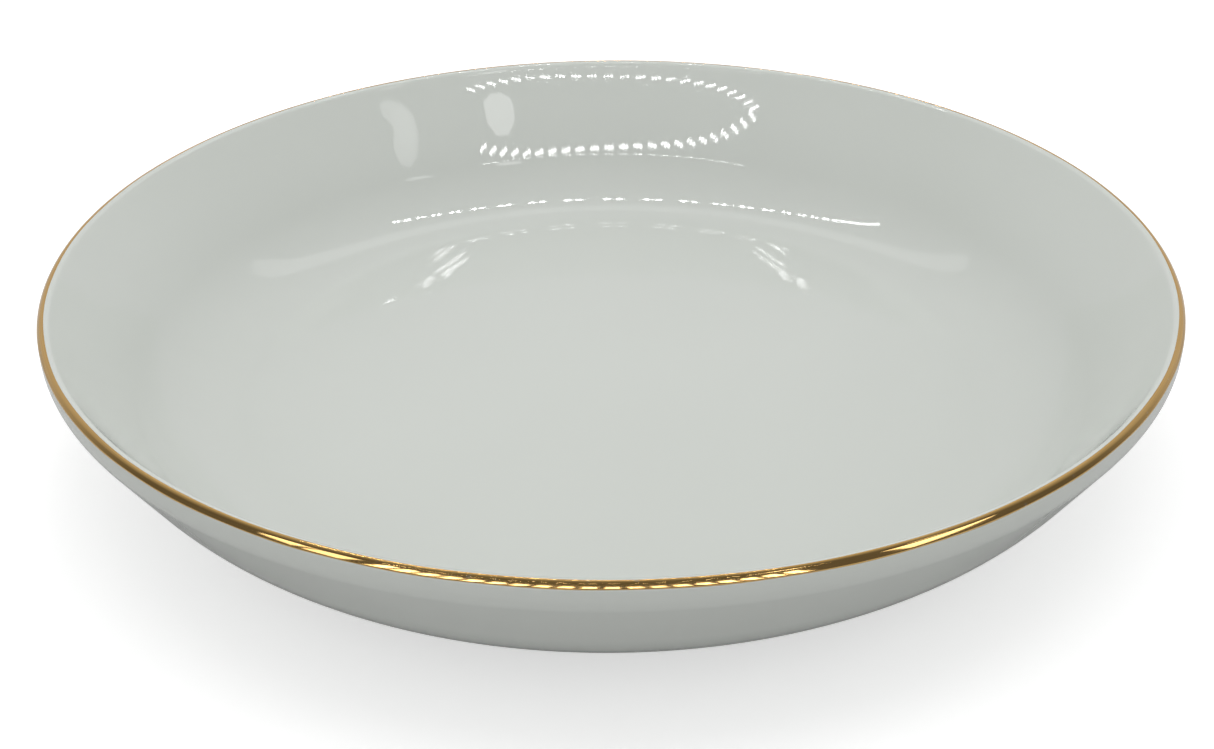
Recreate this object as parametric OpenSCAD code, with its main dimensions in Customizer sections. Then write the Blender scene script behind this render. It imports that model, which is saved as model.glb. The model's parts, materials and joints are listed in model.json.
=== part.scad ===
// Shallow coupe serving bowl in glazed porcelain, with a fired gold line on its lip.
// Origin: centre of the foot's bearing face, on the table. +Z is the bowl's axis, upwards.
// Every piece is a solid of revolution, drawn as half a section: x is the radius, y the height.

/* [Overall] */
// Diameter across the lip
rim_d = 230; // [180:1:300]
// Height from the table to the crest of the lip
bowl_h = 40; // [33:0.5:60]

/* [Lip] */
// Thickness of the lip, which is fully rounded on top
lip_t = 2.7; // [2:0.1:4]
// Depth of the upright band outside, from the crest to where the wall turns in
band_h = 4.5; // [3.5:0.1:7]
// Depth of the upright band inside
inside_band_h = 2.9; // [2.5:0.1:5]
// Radius of the outside turn from the band into the wall
band_bend_r = 5.5; // [3:0.5:9]
// Radius of the inside turn from the band into the wall
inside_bend_r = 4; // [2:0.5:5]

/* [Wall] */
// Slope of the outside of the wall, from level
wall_angle = 57; // [48:1:68]
// Slope of the inside of the wall, from level: flatter, so that the wall thickens downwards
inside_angle = 55; // [45:1:66]
// Radius of the turn from the wall into the underside
heel_r = 38; // [20:1:40]
// Radius of the turn from the wall into the well's floor
well_r = 25.5; // [15:0.5:30]
// Thickness of the floor, glaze and all
floor_t = 3.5; // [2.8:0.1:7]

/* [Foot] */
// Diameter of the foot ring outside
foot_d = 138; // [100:1:150]
// Width of the foot ring
foot_w = 4.5; // [3.5:0.1:8]
// Height of the foot ring, from the table to the underside
foot_h = 5.2; // [4:0.1:9]
// Rounding of the ring's two bottom edges
foot_edge_r = 1; // [0.5:0.1:1.5]
// Hollow fillet where the ring grows out of the underside
foot_fillet_r = 2.2; // [1:0.1:3]
// Height above the table at which the glaze is wiped off the foot
bare_h = 1.6; // [1.2:0.1:3]

/* [Coatings] */
// Thickness of the fired glaze
glaze_t = 0.3; // [0.2:0.05:0.5]
// Width of the gold line, measured over the lip from its crest outwards
gold_w = 1.9; // [1:0.1:2.1]
// Thickness of the gold line, far more than a real film so that it is a solid
gold_t = 0.25; // [0.15:0.05:0.4]

/* [Hidden] */
$fn = 120;
rim_r = rim_d / 2;
foot_r = foot_d / 2;
foot_in_r = foot_r - foot_w;
foot_mid_r = foot_r - foot_w / 2;
floor_z = foot_h + floor_t;
lip_r = lip_t / 2;
lip_x = rim_r - lip_r;
lip_z = bowl_h - lip_r;
lip_side_turn = 15;
corner_z = bowl_h - band_h;
inside_corner_z = bowl_h - inside_band_h;
gold_turn = gold_w / lip_r * 180 / PI;
gold_edge = 2 * lip_t * [sin(gold_turn), cos(gold_turn)];

// How far the corner of band and wall climbs when both are moved in by d
function corner_rise(d, angle) = d * tan((90 - angle) / 2);

module clay() {
    color([0.93, 0.92, 0.89]) rotate_extrude() children();
}

module glaze() {
    color([0.82, 0.84, 0.81]) rotate_extrude() children();
}

module gold() {
    color([0.80, 0.60, 0.25]) rotate_extrude() children();
}

// Half section filled to the axis: floor, round turn, straight wall, round turn, upright band.
// r is the band's radius, turn_z the height where wall and band would cross.
module dish(r, turn_z, angle, bend_r, turn_r, bottom_z) {
    along = [cos(angle), sin(angle)];
    crossing = [r, turn_z];
    toe = [r - (turn_z - bottom_z) / tan(angle), bottom_z];
    bend_len = bend_r * tan((90 - angle) / 2);
    turn_len = turn_r * tan(angle / 2);
    band_end = crossing + [0, bend_len];
    wall_top = crossing - bend_len * along;
    wall_foot = toe + turn_len * along;
    floor_end = toe - [turn_len, 0];
    polygon([[0, bottom_z], floor_end, wall_foot, wall_top, band_end, [r, lip_z], [0, lip_z]]);
    intersection() {
        polygon([floor_end, toe, wall_foot]);
        translate(floor_end + [0, turn_r]) circle(turn_r);
    }
    intersection() {
        polygon([wall_top, crossing, band_end]);
        translate(band_end - [bend_r, 0]) circle(bend_r);
    }
}

// Foot ring with rounded bottom edges and a hollow fillet each side, its skin moved in by d.
// It runs up into the floor, so that it meets the underside where the heel has begun to curve too.
module foot(d) {
    inner = foot_in_r + d;
    outer = foot_r - d;
    translate([inner, foot_edge_r]) square([outer - inner, floor_z - foot_edge_r]);
    translate([inner + foot_edge_r, 0]) square([outer - inner - 2 * foot_edge_r, foot_edge_r]);
    for (x = [inner + foot_edge_r, outer - foot_edge_r])
        translate([x, foot_edge_r]) circle(foot_edge_r);
    fillet_z = foot_h - foot_fillet_r;
    difference() {
        translate([foot_in_r - foot_fillet_r, fillet_z])
            square([foot_w + 2 * foot_fillet_r, foot_fillet_r + d]);
        for (x = [foot_in_r - foot_fillet_r, foot_r + foot_fillet_r])
            translate([x, fillet_z]) circle(foot_fillet_r + d);
    }
}

// The bowl without its foot, filled to the lip, its outer skin moved in by d
module bowl(d) {
    dish(
        rim_r - d,
        corner_z + corner_rise(d, wall_angle),
        wall_angle,
        band_bend_r - d,
        heel_r - d,
        foot_h + d
    );
}

// Everything inside the outer skin, that skin moved in by d
module outside(d) {
    bowl(d);
    foot(d);
}

// The space inside the bowl, grown by d into the wall
module hollow(d) {
    dish(
        rim_r - lip_t + d,
        inside_corner_z - corner_rise(d, inside_angle),
        inside_angle,
        inside_bend_r + d,
        well_r + d,
        floor_z - d
    );
}

// Round top of the lip, its skin moved in by d: a ring of short sides, on which every coat lies flat
module lip(d) {
    translate([lip_x, lip_z])
        polygon([for (turn = [0:lip_side_turn:359]) (lip_r - d) * [cos(turn), sin(turn)]]);
}

// Glaze over the top of the lip
module lip_glaze() {
    difference() {
        lip(0);
        lip(glaze_t);
    }
}

module porcelain_body() {
    clay() {
        difference() {
            bowl(glaze_t);
            hollow(glaze_t);
        }
        lip(glaze_t);
    }
}

module foot_ring() {
    clay() difference() {
        foot(glaze_t);
        bowl(glaze_t);
    }
}

module inside_glaze() {
    glaze() {
        difference() {
            hollow(glaze_t);
            hollow(0);
        }
        intersection() {
            lip_glaze();
            translate([0, lip_z]) square([lip_x, lip_r]);
        }
    }
}

module outside_glaze() {
    glaze() {
        intersection() {
            difference() {
                outside(0);
                outside(glaze_t);
            }
            translate([foot_mid_r, bare_h]) square([rim_r, bowl_h]);
        }
        intersection() {
            lip_glaze();
            translate([lip_x, lip_z]) square(lip_r);
        }
    }
}

module base_glaze() {
    glaze() intersection() {
        difference() {
            outside(0);
            outside(glaze_t);
        }
        translate([0, bare_h]) square([foot_mid_r, floor_z]);
    }
}

module gold_rim_band() {
    gold() intersection() {
        difference() {
            lip(-gold_t);
            lip(0);
        }
        translate([lip_x, lip_z]) polygon([[0, 0], [0, lip_t], [lip_t, lip_t], gold_edge]);
    }
}

porcelain_body();
foot_ring();
inside_glaze();
outside_glaze();
base_glaze();
gold_rim_band();
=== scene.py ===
import json

import bpy
import numpy as np
from mathutils import Matrix, Vector


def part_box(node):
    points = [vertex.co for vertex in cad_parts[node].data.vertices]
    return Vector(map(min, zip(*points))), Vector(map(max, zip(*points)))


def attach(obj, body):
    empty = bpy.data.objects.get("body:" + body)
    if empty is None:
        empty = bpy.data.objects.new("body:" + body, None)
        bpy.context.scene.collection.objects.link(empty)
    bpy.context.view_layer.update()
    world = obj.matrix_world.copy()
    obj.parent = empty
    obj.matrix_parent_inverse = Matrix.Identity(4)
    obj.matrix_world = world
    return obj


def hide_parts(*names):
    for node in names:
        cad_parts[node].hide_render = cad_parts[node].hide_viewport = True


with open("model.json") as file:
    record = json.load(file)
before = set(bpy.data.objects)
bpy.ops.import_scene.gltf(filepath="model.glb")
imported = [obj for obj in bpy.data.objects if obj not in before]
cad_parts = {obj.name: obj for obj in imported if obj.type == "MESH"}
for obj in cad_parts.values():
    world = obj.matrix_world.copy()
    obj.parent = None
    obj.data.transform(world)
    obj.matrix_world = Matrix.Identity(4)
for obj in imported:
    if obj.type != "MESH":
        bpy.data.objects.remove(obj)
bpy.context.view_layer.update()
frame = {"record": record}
mm = 0.001


# ---- View -------------------------------------------------------------------------------------
# The bowl stands on a table and is seen from just above the near lip, a third of a metre away.
# The lens takes in the whole lip and the wall below it on the near side.
crest_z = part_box("inside_glaze")[1].z
well_z = next(m for m in frame["record"]["mounts"] if m["name"] == "well_floor")["pos_m"][2]

eye_away = 327 * mm
eye_rise = 159.5 * mm
lean = np.radians(-0.52)
lens = 51.8
film_width = 36

eye = Vector((0, -eye_away, crest_z + eye_rise))
aim = Vector((-0.9 * mm, 2.5 * mm, well_z))
camera = bpy.data.objects.new("view", bpy.data.cameras.new("view"))
camera.data.sensor_width = film_width
camera.data.lens = lens
camera.data.clip_start = 10 * mm
looking = Matrix.LocRotScale(eye, (aim - eye).to_track_quat("-Z", "Y"), None)
camera.matrix_world = looking @ Matrix.Rotation(lean, 4, "Z")
bpy.context.scene.collection.objects.link(camera)
bpy.context.scene.camera = camera
bpy.context.scene.view_settings.view_transform = "Standard"


# ---- Porcelain body ---------------------------------------------------------------------------
# White hard-paste porcelain, jigger-turned as one shallow dish: a flat floor, a well that sweeps up
# into a flaring wall, a round lip, and a short upright band outside below it. Glaze hides it all.
rim_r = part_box("outside_glaze")[1].x
lip_t = 2.7 * mm
lip_r = lip_t / 2
lip_x = rim_r - lip_r
glaze_t = 0.3 * mm

band_h = 4.5 * mm
band_bend_r = 5.5 * mm
wall_slope = np.radians(57)
heel_r = 38 * mm
under_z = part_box("foot_ring")[1].z - glaze_t

well_slope = np.radians(55)
lip_slope = np.radians(58.2)
sweep_r = 170 * mm
sweep_h = 5.2 * mm
well_r = 25.5 * mm

lip_foot = lip_x - lip_r * np.tan(lip_slope / 2)
sweep_x = lip_foot - sweep_h / np.tan(lip_slope)
inside_toe = sweep_x - (crest_z - sweep_h - well_z) / np.tan(well_slope)
outside_toe = rim_r - (crest_z - band_h - under_z) / np.tan(wall_slope)

inside_corners = [
    (0, well_z),
    (inside_toe, well_z),
    (sweep_x, crest_z - sweep_h),
    (lip_foot, crest_z),
    (lip_x, crest_z),
]
inside_radii = [well_r, sweep_r, lip_r]
inside_gap = 0.7 * mm
wall_corners = [(lip_x, crest_z), (rim_r, crest_z), (rim_r, crest_z - band_h), (outside_toe, under_z)]
wall_radii = [lip_r, band_bend_r, heel_r]


def rounded_line(corners, radii, gap, inset=0.0):
    """A line of straight runs with each corner rounded, then moved inset to the right.

    A corner gives way to the arc that touches both runs; it begins and ends radius * tan(turn / 2)
    from the corner, and along it the heading turns evenly. Points lie about gap apart on an arc,
    and twice that on a straight run, where they crowd towards both ends as a cosine does. Each
    point then moves by inset along its heading turned a quarter to the right.
    """
    corners = np.asarray(corners, float)
    runs = np.diff(corners, axis=0)
    heading = np.arctan2(runs[:, 1], runs[:, 0])
    turn = (np.diff(heading) + np.pi) % (2 * np.pi) - np.pi
    trim = np.asarray(radii) * np.tan(np.abs(turn) / 2)
    along = np.stack([np.cos(heading), np.sin(heading)], 1)
    starts = corners[:-1] + along * np.append(0, trim)[:, None]
    ends = corners[1:] - along * np.append(trim, 0)[:, None]
    points, facing = [], []
    for k in range(len(runs)):
        steps = max(1, round(np.linalg.norm(ends[k] - starts[k]) / (2 * gap)))
        share = (1 - np.cos(np.linspace(0, np.pi, steps + 1)))[:, None] / 2
        points.append(starts[k] + share * (ends[k] - starts[k]))
        facing.append(np.full(steps + 1, heading[k]))
        if k < len(turn):
            steps = max(6, round(radii[k] * abs(turn[k]) / gap))
            swing = heading[k] + turn[k] * np.linspace(0, 1, steps + 1)[1:-1]
            side = np.sign(turn[k])
            centre = ends[k] + side * radii[k] * np.array([-along[k, 1], along[k, 0]])
            points.append(centre + side * radii[k] * np.stack([np.sin(swing), -np.cos(swing)], 1))
            facing.append(swing)
    facing = np.concatenate(facing)
    return np.concatenate(points) + inset * np.stack([np.sin(facing), -np.cos(facing)], 1)


def ring_faces(around, across, loop):
    """Four-sided faces over around lines of across points each, the last line joined to the first.
    In a loop each line's last point is joined to its first as well."""
    i, j = np.meshgrid(np.arange(around), np.arange(across if loop else across - 1), indexing="ij")
    here, there = i * across, (i + 1) % around * across
    after = (j + 1) % across
    return np.stack([here + j, here + after, there + after, there + j], 2).reshape(-1, 4).tolist()


def new_piece(name, points, faces, material):
    """A smooth piece of the bowl, on the bowl's one body."""
    mesh = bpy.data.meshes.new(name)
    mesh.from_pydata(points.tolist(), [], faces)
    mesh.shade_smooth()
    mesh.materials.append(material)
    piece = bpy.data.objects.new(name, mesh)
    bpy.context.scene.collection.objects.link(piece)
    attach(piece, "root")
    return piece


def turned(name, section, material, around=360, shift=None):
    """A closed skin of revolution: the section's (radius, height) points carried round the Z axis.

    The section runs clockwise, so that the skin faces outwards, and a point that repeats the one
    before is dropped. If it begins and ends on the axis it closes there with two poles; any other
    is a loop. shift(angle, height) may raise or lower the points as they go round.
    """
    same = 0.001 * mm
    step = np.linalg.norm(section - np.roll(section, 1, axis=0), axis=1)
    section = section[step > same]
    poled = abs(section[0, 0]) < same
    rings = section[1:-1] if poled else section
    across = len(rings)
    angle = np.linspace(0, 2 * np.pi, around, endpoint=False)[:, None]
    radius, height = np.broadcast_to(rings.T[:, None], (2, around, across))
    if shift:
        height = height + shift(angle, height)
    points = np.stack([radius * np.cos(angle), radius * np.sin(angle), height], 2).reshape(-1, 3)
    faces = ring_faces(around, across, loop=not poled)
    if poled:
        first, last = len(points), len(points) + 1
        points = np.vstack([points, [0, 0, section[0, 1]], [0, 0, section[-1, 1]]])
        here = np.arange(around) * across
        there = np.roll(here, -1)
        far = across - 1
        faces += np.stack([np.full(around, first), here, there], 1).tolist()
        faces += np.stack([np.full(around, last), there + far, here + far], 1).tolist()
    piece = new_piece(name, points, faces, material)
    piece.data.set_sharp_from_angle(angle=np.radians(40))
    return piece


def fill(tree, node, inputs):
    """Gives each input of a node its value, or links it to a socket. Input in_0 is the first one,
    in_1 the second, where several have one name."""
    for name, value in inputs.items():
        place = int(name[3:]) if name.startswith("in_") else name.replace("_", " ")
        if isinstance(value, bpy.types.NodeSocket):
            tree.links.new(value, node.inputs[place])
        else:
            node.inputs[place].default_value = value


def add(tree, kind, options=None, **inputs):
    """A new shader node, with its own settings as options."""
    node = tree.nodes.new("ShaderNode" + kind)
    for name, value in (options or {}).items():
        setattr(node, name, value)
    fill(tree, node, inputs)
    return node


def noise(tree, place, scale, detail):
    return add(tree, "TexNoise", Vector=place, Scale=scale, Detail=detail).outputs["Fac"]


def round_waves(tree, place, scale, distortion, detail):
    """Rings round the Z axis, rising and falling between 0 and 1."""
    options = {"wave_type": "RINGS", "rings_direction": "Z"}
    waves = add(
        tree, "TexWave", options, Vector=place, Scale=scale, Distortion=distortion, Detail=detail
    )
    return waves.outputs["Fac"]


def math(tree, operation, first, second):
    return add(tree, "Math", {"operation": operation}, in_0=first, in_1=second).outputs["Value"]


def ramp(tree, value, start, stop, low, high, options=None):
    """A number that goes from low to high while value goes from start to stop."""
    limits = {"From_Min": start, "From_Max": stop, "To_Min": low, "To_Max": high}
    return add(tree, "MapRange", options, Value=value, **limits).outputs["Result"]


def mixed(tree, share, first, second):
    """A colour between first and second."""
    return add(tree, "Mix", {"data_type": "RGBA"}, Factor=share, A=first, B=second).outputs["Result"]


def relief(tree, height, depth, strength=1.0, **under):
    """The normal of a surface with a fine relief of this depth."""
    bump = add(tree, "Bump", Height=height, Distance=depth, Strength=strength, **under)
    return bump.outputs["Normal"]


def new_material(name):
    material = bpy.data.materials.new(name)
    material.use_nodes = True
    return material, material.node_tree, material.node_tree.nodes["Principled BSDF"]


def matt_clay(name):
    """Biscuit porcelain: two close whites clouded together, dry grain, rings left by the turning
    tool, and a little grey soil on what stands on the table."""
    material, tree, shader = new_material(name)
    place = add(tree, "TexCoord").outputs["Object"]
    white = mixed(tree, noise(tree, place, 60, 5), (0.58, 0.57, 0.54, 1), (0.66, 0.63, 0.57, 1))
    height = add(tree, "SeparateXYZ", Vector=place).outputs["Z"]
    low = ramp(tree, height, 0, 0.6 * mm, 1, 0)
    soil = math(tree, "MULTIPLY", low, noise(tree, place, 260, 6))
    colour = mixed(tree, soil, white, (0.36, 0.34, 0.30, 1))
    rings = relief(tree, round_waves(tree, place, 600, 1.5, 2), 0.01 * mm, 0.5)
    grain = relief(tree, noise(tree, place, 3500, 3), 0.05 * mm, 0.6, Normal=rings)
    fill(tree, shader, {"Base Color": colour, "Roughness": 0.75, "Normal": grain})
    return material


biscuit = matt_clay("biscuit")
inside_clay = rounded_line(inside_corners, inside_radii, inside_gap, glaze_t)
outside_clay = rounded_line(wall_corners + [(0, under_z)], wall_radii, 0.9 * mm, glaze_t)
body = turned("body_clay", np.vstack([inside_clay, outside_clay]), biscuit, around=240)
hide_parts("porcelain_body")


# ---- Foot ring --------------------------------------------------------------------------------
# A turned porcelain ring that the bowl stands on, one clay with the body, with softened edges.
# The glaze is wiped off its last millimetre and a half, and the land is ground smooth.
foot_out = 69 * mm
foot_in = 64.5 * mm
foot_edge_r = 1 * mm
foot_fillet_r = 2.2 * mm
bare_h = 1.6 * mm

clay_top = under_z + glaze_t
clay_out = foot_out - glaze_t
clay_in = foot_in + glaze_t
flare = foot_fillet_r + glaze_t
flare_r = 0.999 * flare  # just under the flare, which leaves a short run beside the fillet

foot_corners = [
    (clay_out + flare, clay_top),
    (clay_out, clay_top),
    (clay_out, 0),
    (clay_in, 0),
    (clay_in, clay_top),
    (clay_in - flare, clay_top),
]
foot_radii = [flare_r, foot_edge_r, foot_edge_r, flare_r]
foot = turned("foot_clay", rounded_line(foot_corners, foot_radii, 0.3 * mm), biscuit)
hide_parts("foot_ring")


# ---- Inside glaze -----------------------------------------------------------------------------
# A clear gloss glaze fired over the white clay, a third of a millimetre thick and faintly green.
# It covers the floor, the wall and the inner half of the lip, and lies in long, very shallow waves.
def gloss_glaze(name, wave, rings, scratches):
    """Glazed porcelain: a clear gloss, faintly greener where it pooled low in the bowl, clouded
    between two close tints, with long shallow waves of height wave, the turning rings of the clay
    below showing through at height rings, a few pinholes, and hairline scratches that add
    scratches to its roughness."""
    material, tree, shader = new_material(name)
    place = add(tree, "TexCoord").outputs["Object"]
    height = add(tree, "SeparateXYZ", Vector=place).outputs["Z"]
    pooled = ramp(tree, height, 0, crest_z, 0.15, -0.15)
    depth = math(tree, "ADD", noise(tree, place, 14, 3), pooled)
    ground = mixed(tree, depth, (0.62, 0.645, 0.61, 1), (0.585, 0.61, 0.575, 1))

    holes = add(tree, "TexVoronoi", Vector=place, Scale=70)
    dark = ramp(tree, holes.outputs["Distance"], 0.010, 0.016, 0.6, 0)
    draw = add(tree, "SeparateColor", Color=holes.outputs["Color"])
    few = math(tree, "GREATER_THAN", draw.outputs["Red"], 0.8)
    colour = mixed(tree, math(tree, "MULTIPLY", dark, few), ground, (0.22, 0.20, 0.17, 1))

    polish = 0.022
    roughness = polish
    for way in (0.5, 1.7, 2.6):
        drawn = add(tree, "Mapping", Vector=place, Rotation=(0, 0, way), Scale=(14, 2200, 14))
        hair = noise(tree, drawn.outputs["Vector"], 1, 1)
        scratch = ramp(tree, hair, 0.70, 0.74, polish, polish + scratches)
        roughness = math(tree, "MAXIMUM", roughness, scratch)

    turning = relief(tree, round_waves(tree, place, 70, 2, 1), rings)
    skin = relief(tree, noise(tree, place, 160, 1), wave, Normal=turning)
    fill(tree, shader, {"Base Color": colour, "Roughness": roughness, "Normal": skin, "IOR": 1.5})
    return material


inside_gloss = gloss_glaze("inside_gloss", wave=0.0015 * mm, rings=0.0003 * mm, scratches=0.06)
inside_line = rounded_line(inside_corners, inside_radii, inside_gap)
inside = turned("inside_glaze_coat", np.vstack([inside_line, inside_clay[::-1]]), inside_gloss)
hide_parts("inside_glaze")


# ---- Outside glaze ----------------------------------------------------------------------------
# The same glaze on the outer half of the lip, the band, the wall, the heel and the foot's outer side.
# It stops in a soft, slightly wandering edge where it was wiped off the foot.
glaze_edge_r = 0.9 * glaze_t
wiped_h = 1.2 * mm
skirt_corners = wall_corners + [(foot_out, under_z), (foot_out, bare_h)]
skirt_radii = wall_radii + [foot_fillet_r]
skirt_line = rounded_line(
    skirt_corners + [(clay_out, bare_h)], skirt_radii + [glaze_edge_r], 0.7 * mm
)
skirt_back = rounded_line(skirt_corners, skirt_radii, 1.5 * mm, glaze_t)


def wiped_edge(angle, height):
    """The rise of the glaze edge on the foot: three slow waves round the ring, fading out wiped_h
    above the edge."""
    wander = 0.10 * np.sin(3 * angle + 0.7) + 0.07 * np.sin(7 * angle + 2.1) + 0.05 * np.sin(16 * angle)
    reach = np.clip(1 - (height - bare_h) / wiped_h, 0, 1)
    return wander * mm * reach


outside_gloss = gloss_glaze("outside_gloss", wave=0.003 * mm, rings=0.002 * mm, scratches=0.02)
outside = turned(
    "outside_glaze_coat",
    np.vstack([skirt_line, skirt_back[::-1]]),
    outside_gloss,
    shift=wiped_edge,
)
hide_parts("outside_glaze")


# ---- Base glaze -------------------------------------------------------------------------------
# Glaze inside the foot ring, over the ring's inner side and the underside of the floor.
# It is the same gloss as outside, and stops in the same wandering edge above the bare land.
base_corners = [(foot_in, bare_h), (foot_in, under_z), (0, under_z)]
base_line = rounded_line(
    [(clay_in, bare_h)] + base_corners, [glaze_edge_r, foot_fillet_r], 0.7 * mm
)
base_back = rounded_line(base_corners, [foot_fillet_r], 2 * mm, glaze_t)
base = turned(
    "base_glaze_coat",
    np.vstack([base_back[::-1], base_line]),
    outside_gloss,
    shift=wiped_edge,
)
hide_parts("base_glaze")


# ---- Gold line --------------------------------------------------------------------------------
# Bright burnished gold, brushed over the outer half of the lip on a banding wheel and fired on.
# Its edges wander a little, as a hand-held brush leaves them.
gold_w = 1.75 * mm
gold_t = 0.05 * mm
gold_root = 0.01 * mm
rub_r = 6 * mm
rub_turn = np.radians(50)
rub_rise = 0.012 * mm


def gold_band(name, material, around=1440, across=24):
    """A thin strip on the lip, from the crest outwards.

    The angle over the lip runs from one wandering edge to the other. The film stands gold_t proud
    and thins to nothing at both edges, and its back lies gold_root under the glaze. A shallow flat
    is rubbed across it: an arc of radius rub_r that stands rub_rise proud at the angle rub_turn.
    """
    angle = np.linspace(0, 2 * np.pi, around, endpoint=False)[:, None]
    share = np.linspace(0, 1, across)[None, :]
    start = 0.04 * np.sin(5 * angle + 1) + 0.03 * np.sin(23 * angle) - 0.02
    stop = gold_w / lip_r + 0.05 * np.sin(4 * angle) + 0.03 * np.sin(31 * angle + 2)
    turn = start + (stop - start) * share
    dome = gold_t * (1 - (2 * share - 1) ** 8)
    swing = turn - rub_turn
    drop = rub_r - lip_r - rub_rise
    flat = np.sqrt(rub_r**2 - (drop * np.sin(swing)) ** 2) - drop * np.cos(swing) - lip_r
    film = np.minimum(dome, flat)
    over = np.concatenate([turn, turn[:, ::-1]], 1)
    away = np.concatenate([lip_r + film, np.full_like(turn, lip_r - gold_root)], 1)
    radius = lip_x + away * np.sin(over)
    height = crest_z - lip_r + away * np.cos(over)
    points = np.stack([radius * np.cos(angle), radius * np.sin(angle), height], 2).reshape(-1, 3)
    return new_piece(name, points, ring_faces(around, 2 * across, loop=True), material)


def burnished_gold(name):
    """Fired bright gold: brush streaks that run round the lip stretch its highlights across the
    line. Tone and polish follow the streaks, and small spots are rubbed pale by handling."""
    material, tree, shader = new_material(name)
    place = add(tree, "TexCoord").outputs["Object"]
    level = add(tree, "VectorMath", {"operation": "MULTIPLY"}, in_0=place, in_1=(1, 1, 0))
    radius = add(tree, "VectorMath", {"operation": "LENGTH"}, in_0=level.outputs["Vector"])
    axes = add(tree, "SeparateXYZ", Vector=place).outputs
    over = math(tree, "SUBTRACT", radius.outputs["Value"], axes["Z"])
    strip = add(tree, "CombineXYZ", X=axes["X"], Y=axes["Y"], Z=over)
    drawn = add(tree, "Mapping", Vector=strip.outputs["Vector"], Scale=(70, 70, 5000))
    streak = noise(tree, drawn.outputs["Vector"], 1, 3)
    tone = mixed(tree, streak, (0.82, 0.54, 0.20, 1), (0.62, 0.37, 0.13, 1))
    rubbed = ramp(tree, noise(tree, place, 700, 4), 0.66, 0.72, 0, 0.6)
    round_lip = add(tree, "VectorMath", {"operation": "CROSS_PRODUCT"}, in_0=(0, 0, 1), in_1=place)
    finish = {
        "Base Color": mixed(tree, rubbed, tone, (0.74, 0.62, 0.48, 1)),
        "Roughness": ramp(tree, streak, 0.3, 0.7, 0.05, 0.10),
        "Normal": relief(tree, streak, 0.001 * mm, 0.3),
        "Tangent": round_lip.outputs["Vector"],
        "Anisotropic": 0.9,
        "Anisotropic Rotation": 0.25,
        "Metallic": 1,
    }
    fill(tree, shader, finish)
    return material


gold = gold_band("gold_line", burnished_gold("burnished_gold"))
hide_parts("gold_rim_band")


# ---- Table and light --------------------------------------------------------------------------
# A pale table top, a soft overhead light, and the small lamps of a light box, which the glaze and
# the gold pick up as rows of bright points.
lamp_z = crest_z + 300 * mm
onward = (0, 10)


def lamps(name, outlines, strength):
    """Glowing shapes, one for each outline of points. They show in glossy surfaces only."""
    material, tree, shader = new_material(name)
    glow = {"Base Color": (0, 0, 0, 1), "Emission Color": (1, 1, 1, 1), "Emission Strength": strength}
    fill(tree, shader, glow)
    mesh = bpy.data.meshes.new(name)
    corners = np.arange(outlines[..., 0].size).reshape(len(outlines), -1)
    mesh.from_pydata(outlines.reshape(-1, 3).tolist(), [], corners.tolist())
    mesh.materials.append(material)
    row = bpy.data.objects.new(name, mesh)
    bpy.context.scene.collection.objects.link(row)
    row.visible_camera = False
    row.visible_diffuse = False
    row.visible_shadow = False


def lamp_row(name, centres, size, target, strength):
    """Small lamps at the height lamp_z, facing down: each is a flat eight-sided oval round its
    centre, of half-widths size, with its second half-width pointing at target."""
    centres = np.asarray(centres)
    along = target - centres
    along = along / np.linalg.norm(along, axis=1)[:, None]
    aside = np.stack([along[:, 1], -along[:, 0]], 1)
    turn = np.arange(8)[None, :, None] * np.pi / 4
    oval = size[0] * np.cos(turn) * aside[:, None] - size[1] * np.sin(turn) * along[:, None]
    flat = centres[:, None] + oval
    lamps(name, np.concatenate([flat, np.full_like(flat[..., :1], lamp_z)], 2), strength)


def card_arc(name, bearings, half_width, strength):
    """Upright bars on a sphere of radius away about the near lip. Each spans half_width each side
    of its bearing, the angle from the near side, and rises from low to high above the lip."""
    low, high, away = np.radians(28), np.radians(41), 600 * mm
    side = np.radians(bearings)[:, None] + np.radians(half_width) * np.array([-1, 1, 1, -1])
    rise = np.broadcast_to([low, low, high, high], side.shape)
    ways = np.stack([np.sin(side) * np.cos(rise), -np.cos(side) * np.cos(rise), np.sin(rise)], 2)
    lamps(name, ways * away + [0, -rim_r, crest_z], strength)


# an open oval of lamps over the near side, three abreast
turn = np.radians(-31 - 6.2 * np.arange(23))
front = np.stack([10 + 177 * np.cos(turn), -109 + 85 * np.sin(turn)], 1) * mm
for beside, half_width in ((-4.2, 1.8), (0, 1.8), (4.0, 1.3)):
    lamp_row("front_lamps", front + [beside * mm, 0], (half_width * mm, 1.7 * mm), onward, 30)

# a gently bowed row of slim pairs over the far side
across = 74 - 8.3 * np.arange(28)
back = np.stack([across, 172 - across**2 / 900], 1) * mm
for beside in (-1.3, 1.3):
    lamp_row("back_lamps", back + [beside * mm, 0], (0.7 * mm, 9 * mm), (0, 273 * mm), 40)

# broad dim cards: centre, half-widths and strength
for centre, half_widths, strength in (
    ((0, 262), (300, 32), 1.3),
    ((243, -87), (28, 15), 2),
    ((236, -86), (15, 12), 2.5),
    ((124, -144), (19, 16), 3.5),
):
    lamp_row("bright_card", np.array([centre]) * mm, np.array(half_widths) * mm, onward, strength)

# bars in threes that the gold on the near lip shows as ticks, and a wide glow at each side
spacing = 4.9
bearings = spacing * np.arange(-10, 9)
for beside in (-0.22, 0, 0.20):
    card_arc("lip_lamps", bearings + beside * spacing, 0.42, 6)
card_arc("lip_glow", [66, 76], 5, 3)
card_arc("lip_glow", [-60, -70], 4, 2.5)


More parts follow.
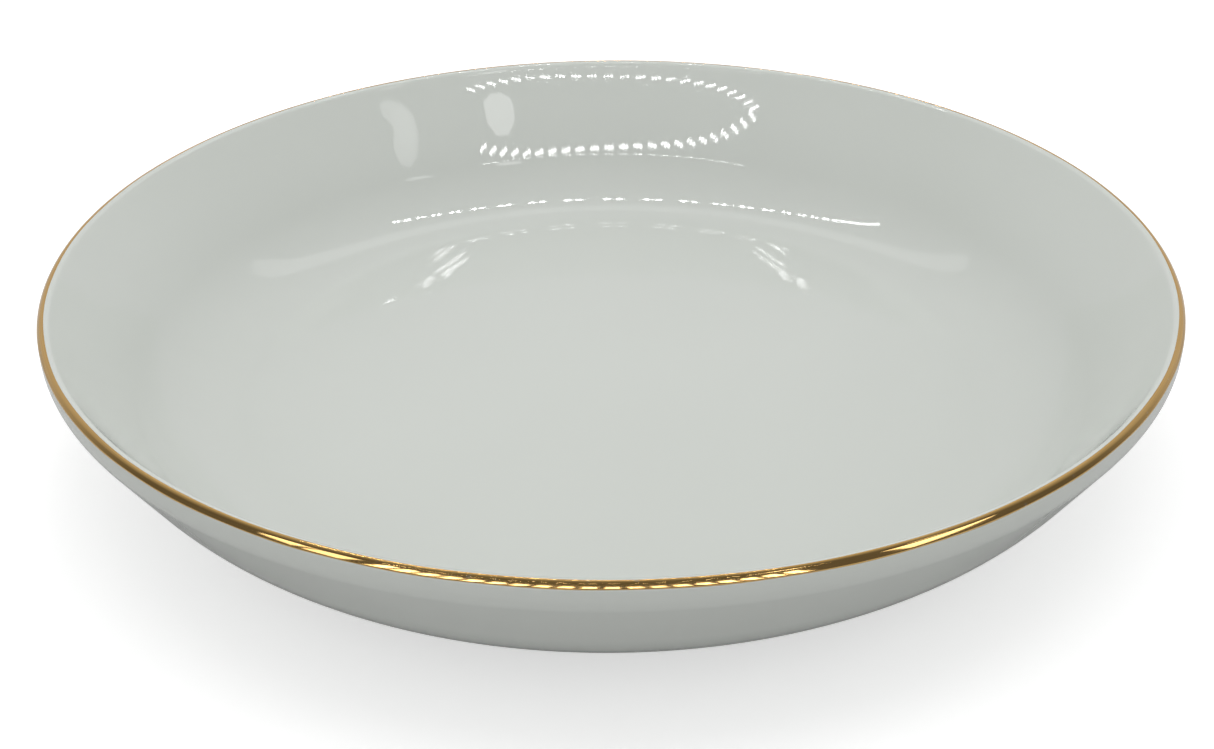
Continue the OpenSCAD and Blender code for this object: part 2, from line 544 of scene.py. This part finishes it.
def soft_light(name, spot, size, power):
    """An oval light over the bowl, facing the bowl's foot. It lights dull surfaces only."""
    light = bpy.data.lights.new(name, "AREA")
    light.shape = "ELLIPSE"
    light.size, light.size_y = size
    light.energy = power
    holder = bpy.data.objects.new(name, light)
    holder.matrix_world = Matrix.LocRotScale(spot, (-spot).to_track_quat("-Z", "Y"), None)
    holder.visible_camera = False
    holder.visible_glossy = False
    bpy.context.scene.collection.objects.link(holder)


soft_light("front_glow", Vector((8 * mm, -125 * mm, lamp_z)), (320 * mm, 160 * mm), 0.28)
soft_light("back_glow", Vector((-37 * mm, 165 * mm, lamp_z)), (240 * mm, 100 * mm), 0.23)

half_table = 3
table = bpy.data.meshes.new("table")
table_corners = [(-1, -1, 0), (1, -1, 0), (1, 1, 0), (-1, 1, 0)]
table.from_pydata([half_table * Vector(corner) for corner in table_corners], [], [(0, 1, 2, 3)])
paint, tree, dull = new_material("table_paint")
seen = add(tree, "LightPath").outputs["Is Camera Ray"]
lift = ramp(tree, seen, 0, 1, 0, 0.55)
fill(
    tree,
    dull,
    {
        "Base Color": (0.7, 0.7, 0.7, 1),
        "Roughness": 0.9,
        "Emission Color": (1, 1, 1, 1),
        "Emission Strength": lift,
    },
)
table.materials.append(paint)
table_top = bpy.data.objects.new("table", table)
bpy.context.scene.collection.objects.link(table_top)

# a white room, seen white, which glossy surfaces find dim towards the viewer
world = bpy.data.worlds.new("studio")
world.use_nodes = True
bpy.context.scene.world = world
tree = world.node_tree
ray = add(tree, "LightPath").outputs
direction = add(tree, "TexCoord").outputs["Generated"]
onwards = add(tree, "SeparateXYZ", Vector=direction).outputs["Y"]
near = ramp(tree, ray["Is Glossy Ray"], 0, 1, 0.68, 0.15)
far = ramp(tree, ray["Is Glossy Ray"], 0, 1, 0.80, 0.62)
room = ramp(tree, onwards, 0, 0.75, near, far, {"interpolation_type": "SMOOTHSTEP"})
sky = tree.nodes["Background"]
fill(tree, sky, {"Color": (1, 1, 1, 1), "Strength": room})
backdrop = add(tree, "Background", Color=(1, 1, 1, 1), Strength=1.05)
blend = add(
    tree,
    "MixShader",
    Fac=ray["Is Camera Ray"],
    in_1=sky.outputs["Background"],
    in_2=backdrop.outputs["Background"],
)
tree.links.new(blend.outputs["Shader"], tree.nodes["World Output"].inputs["Surface"])
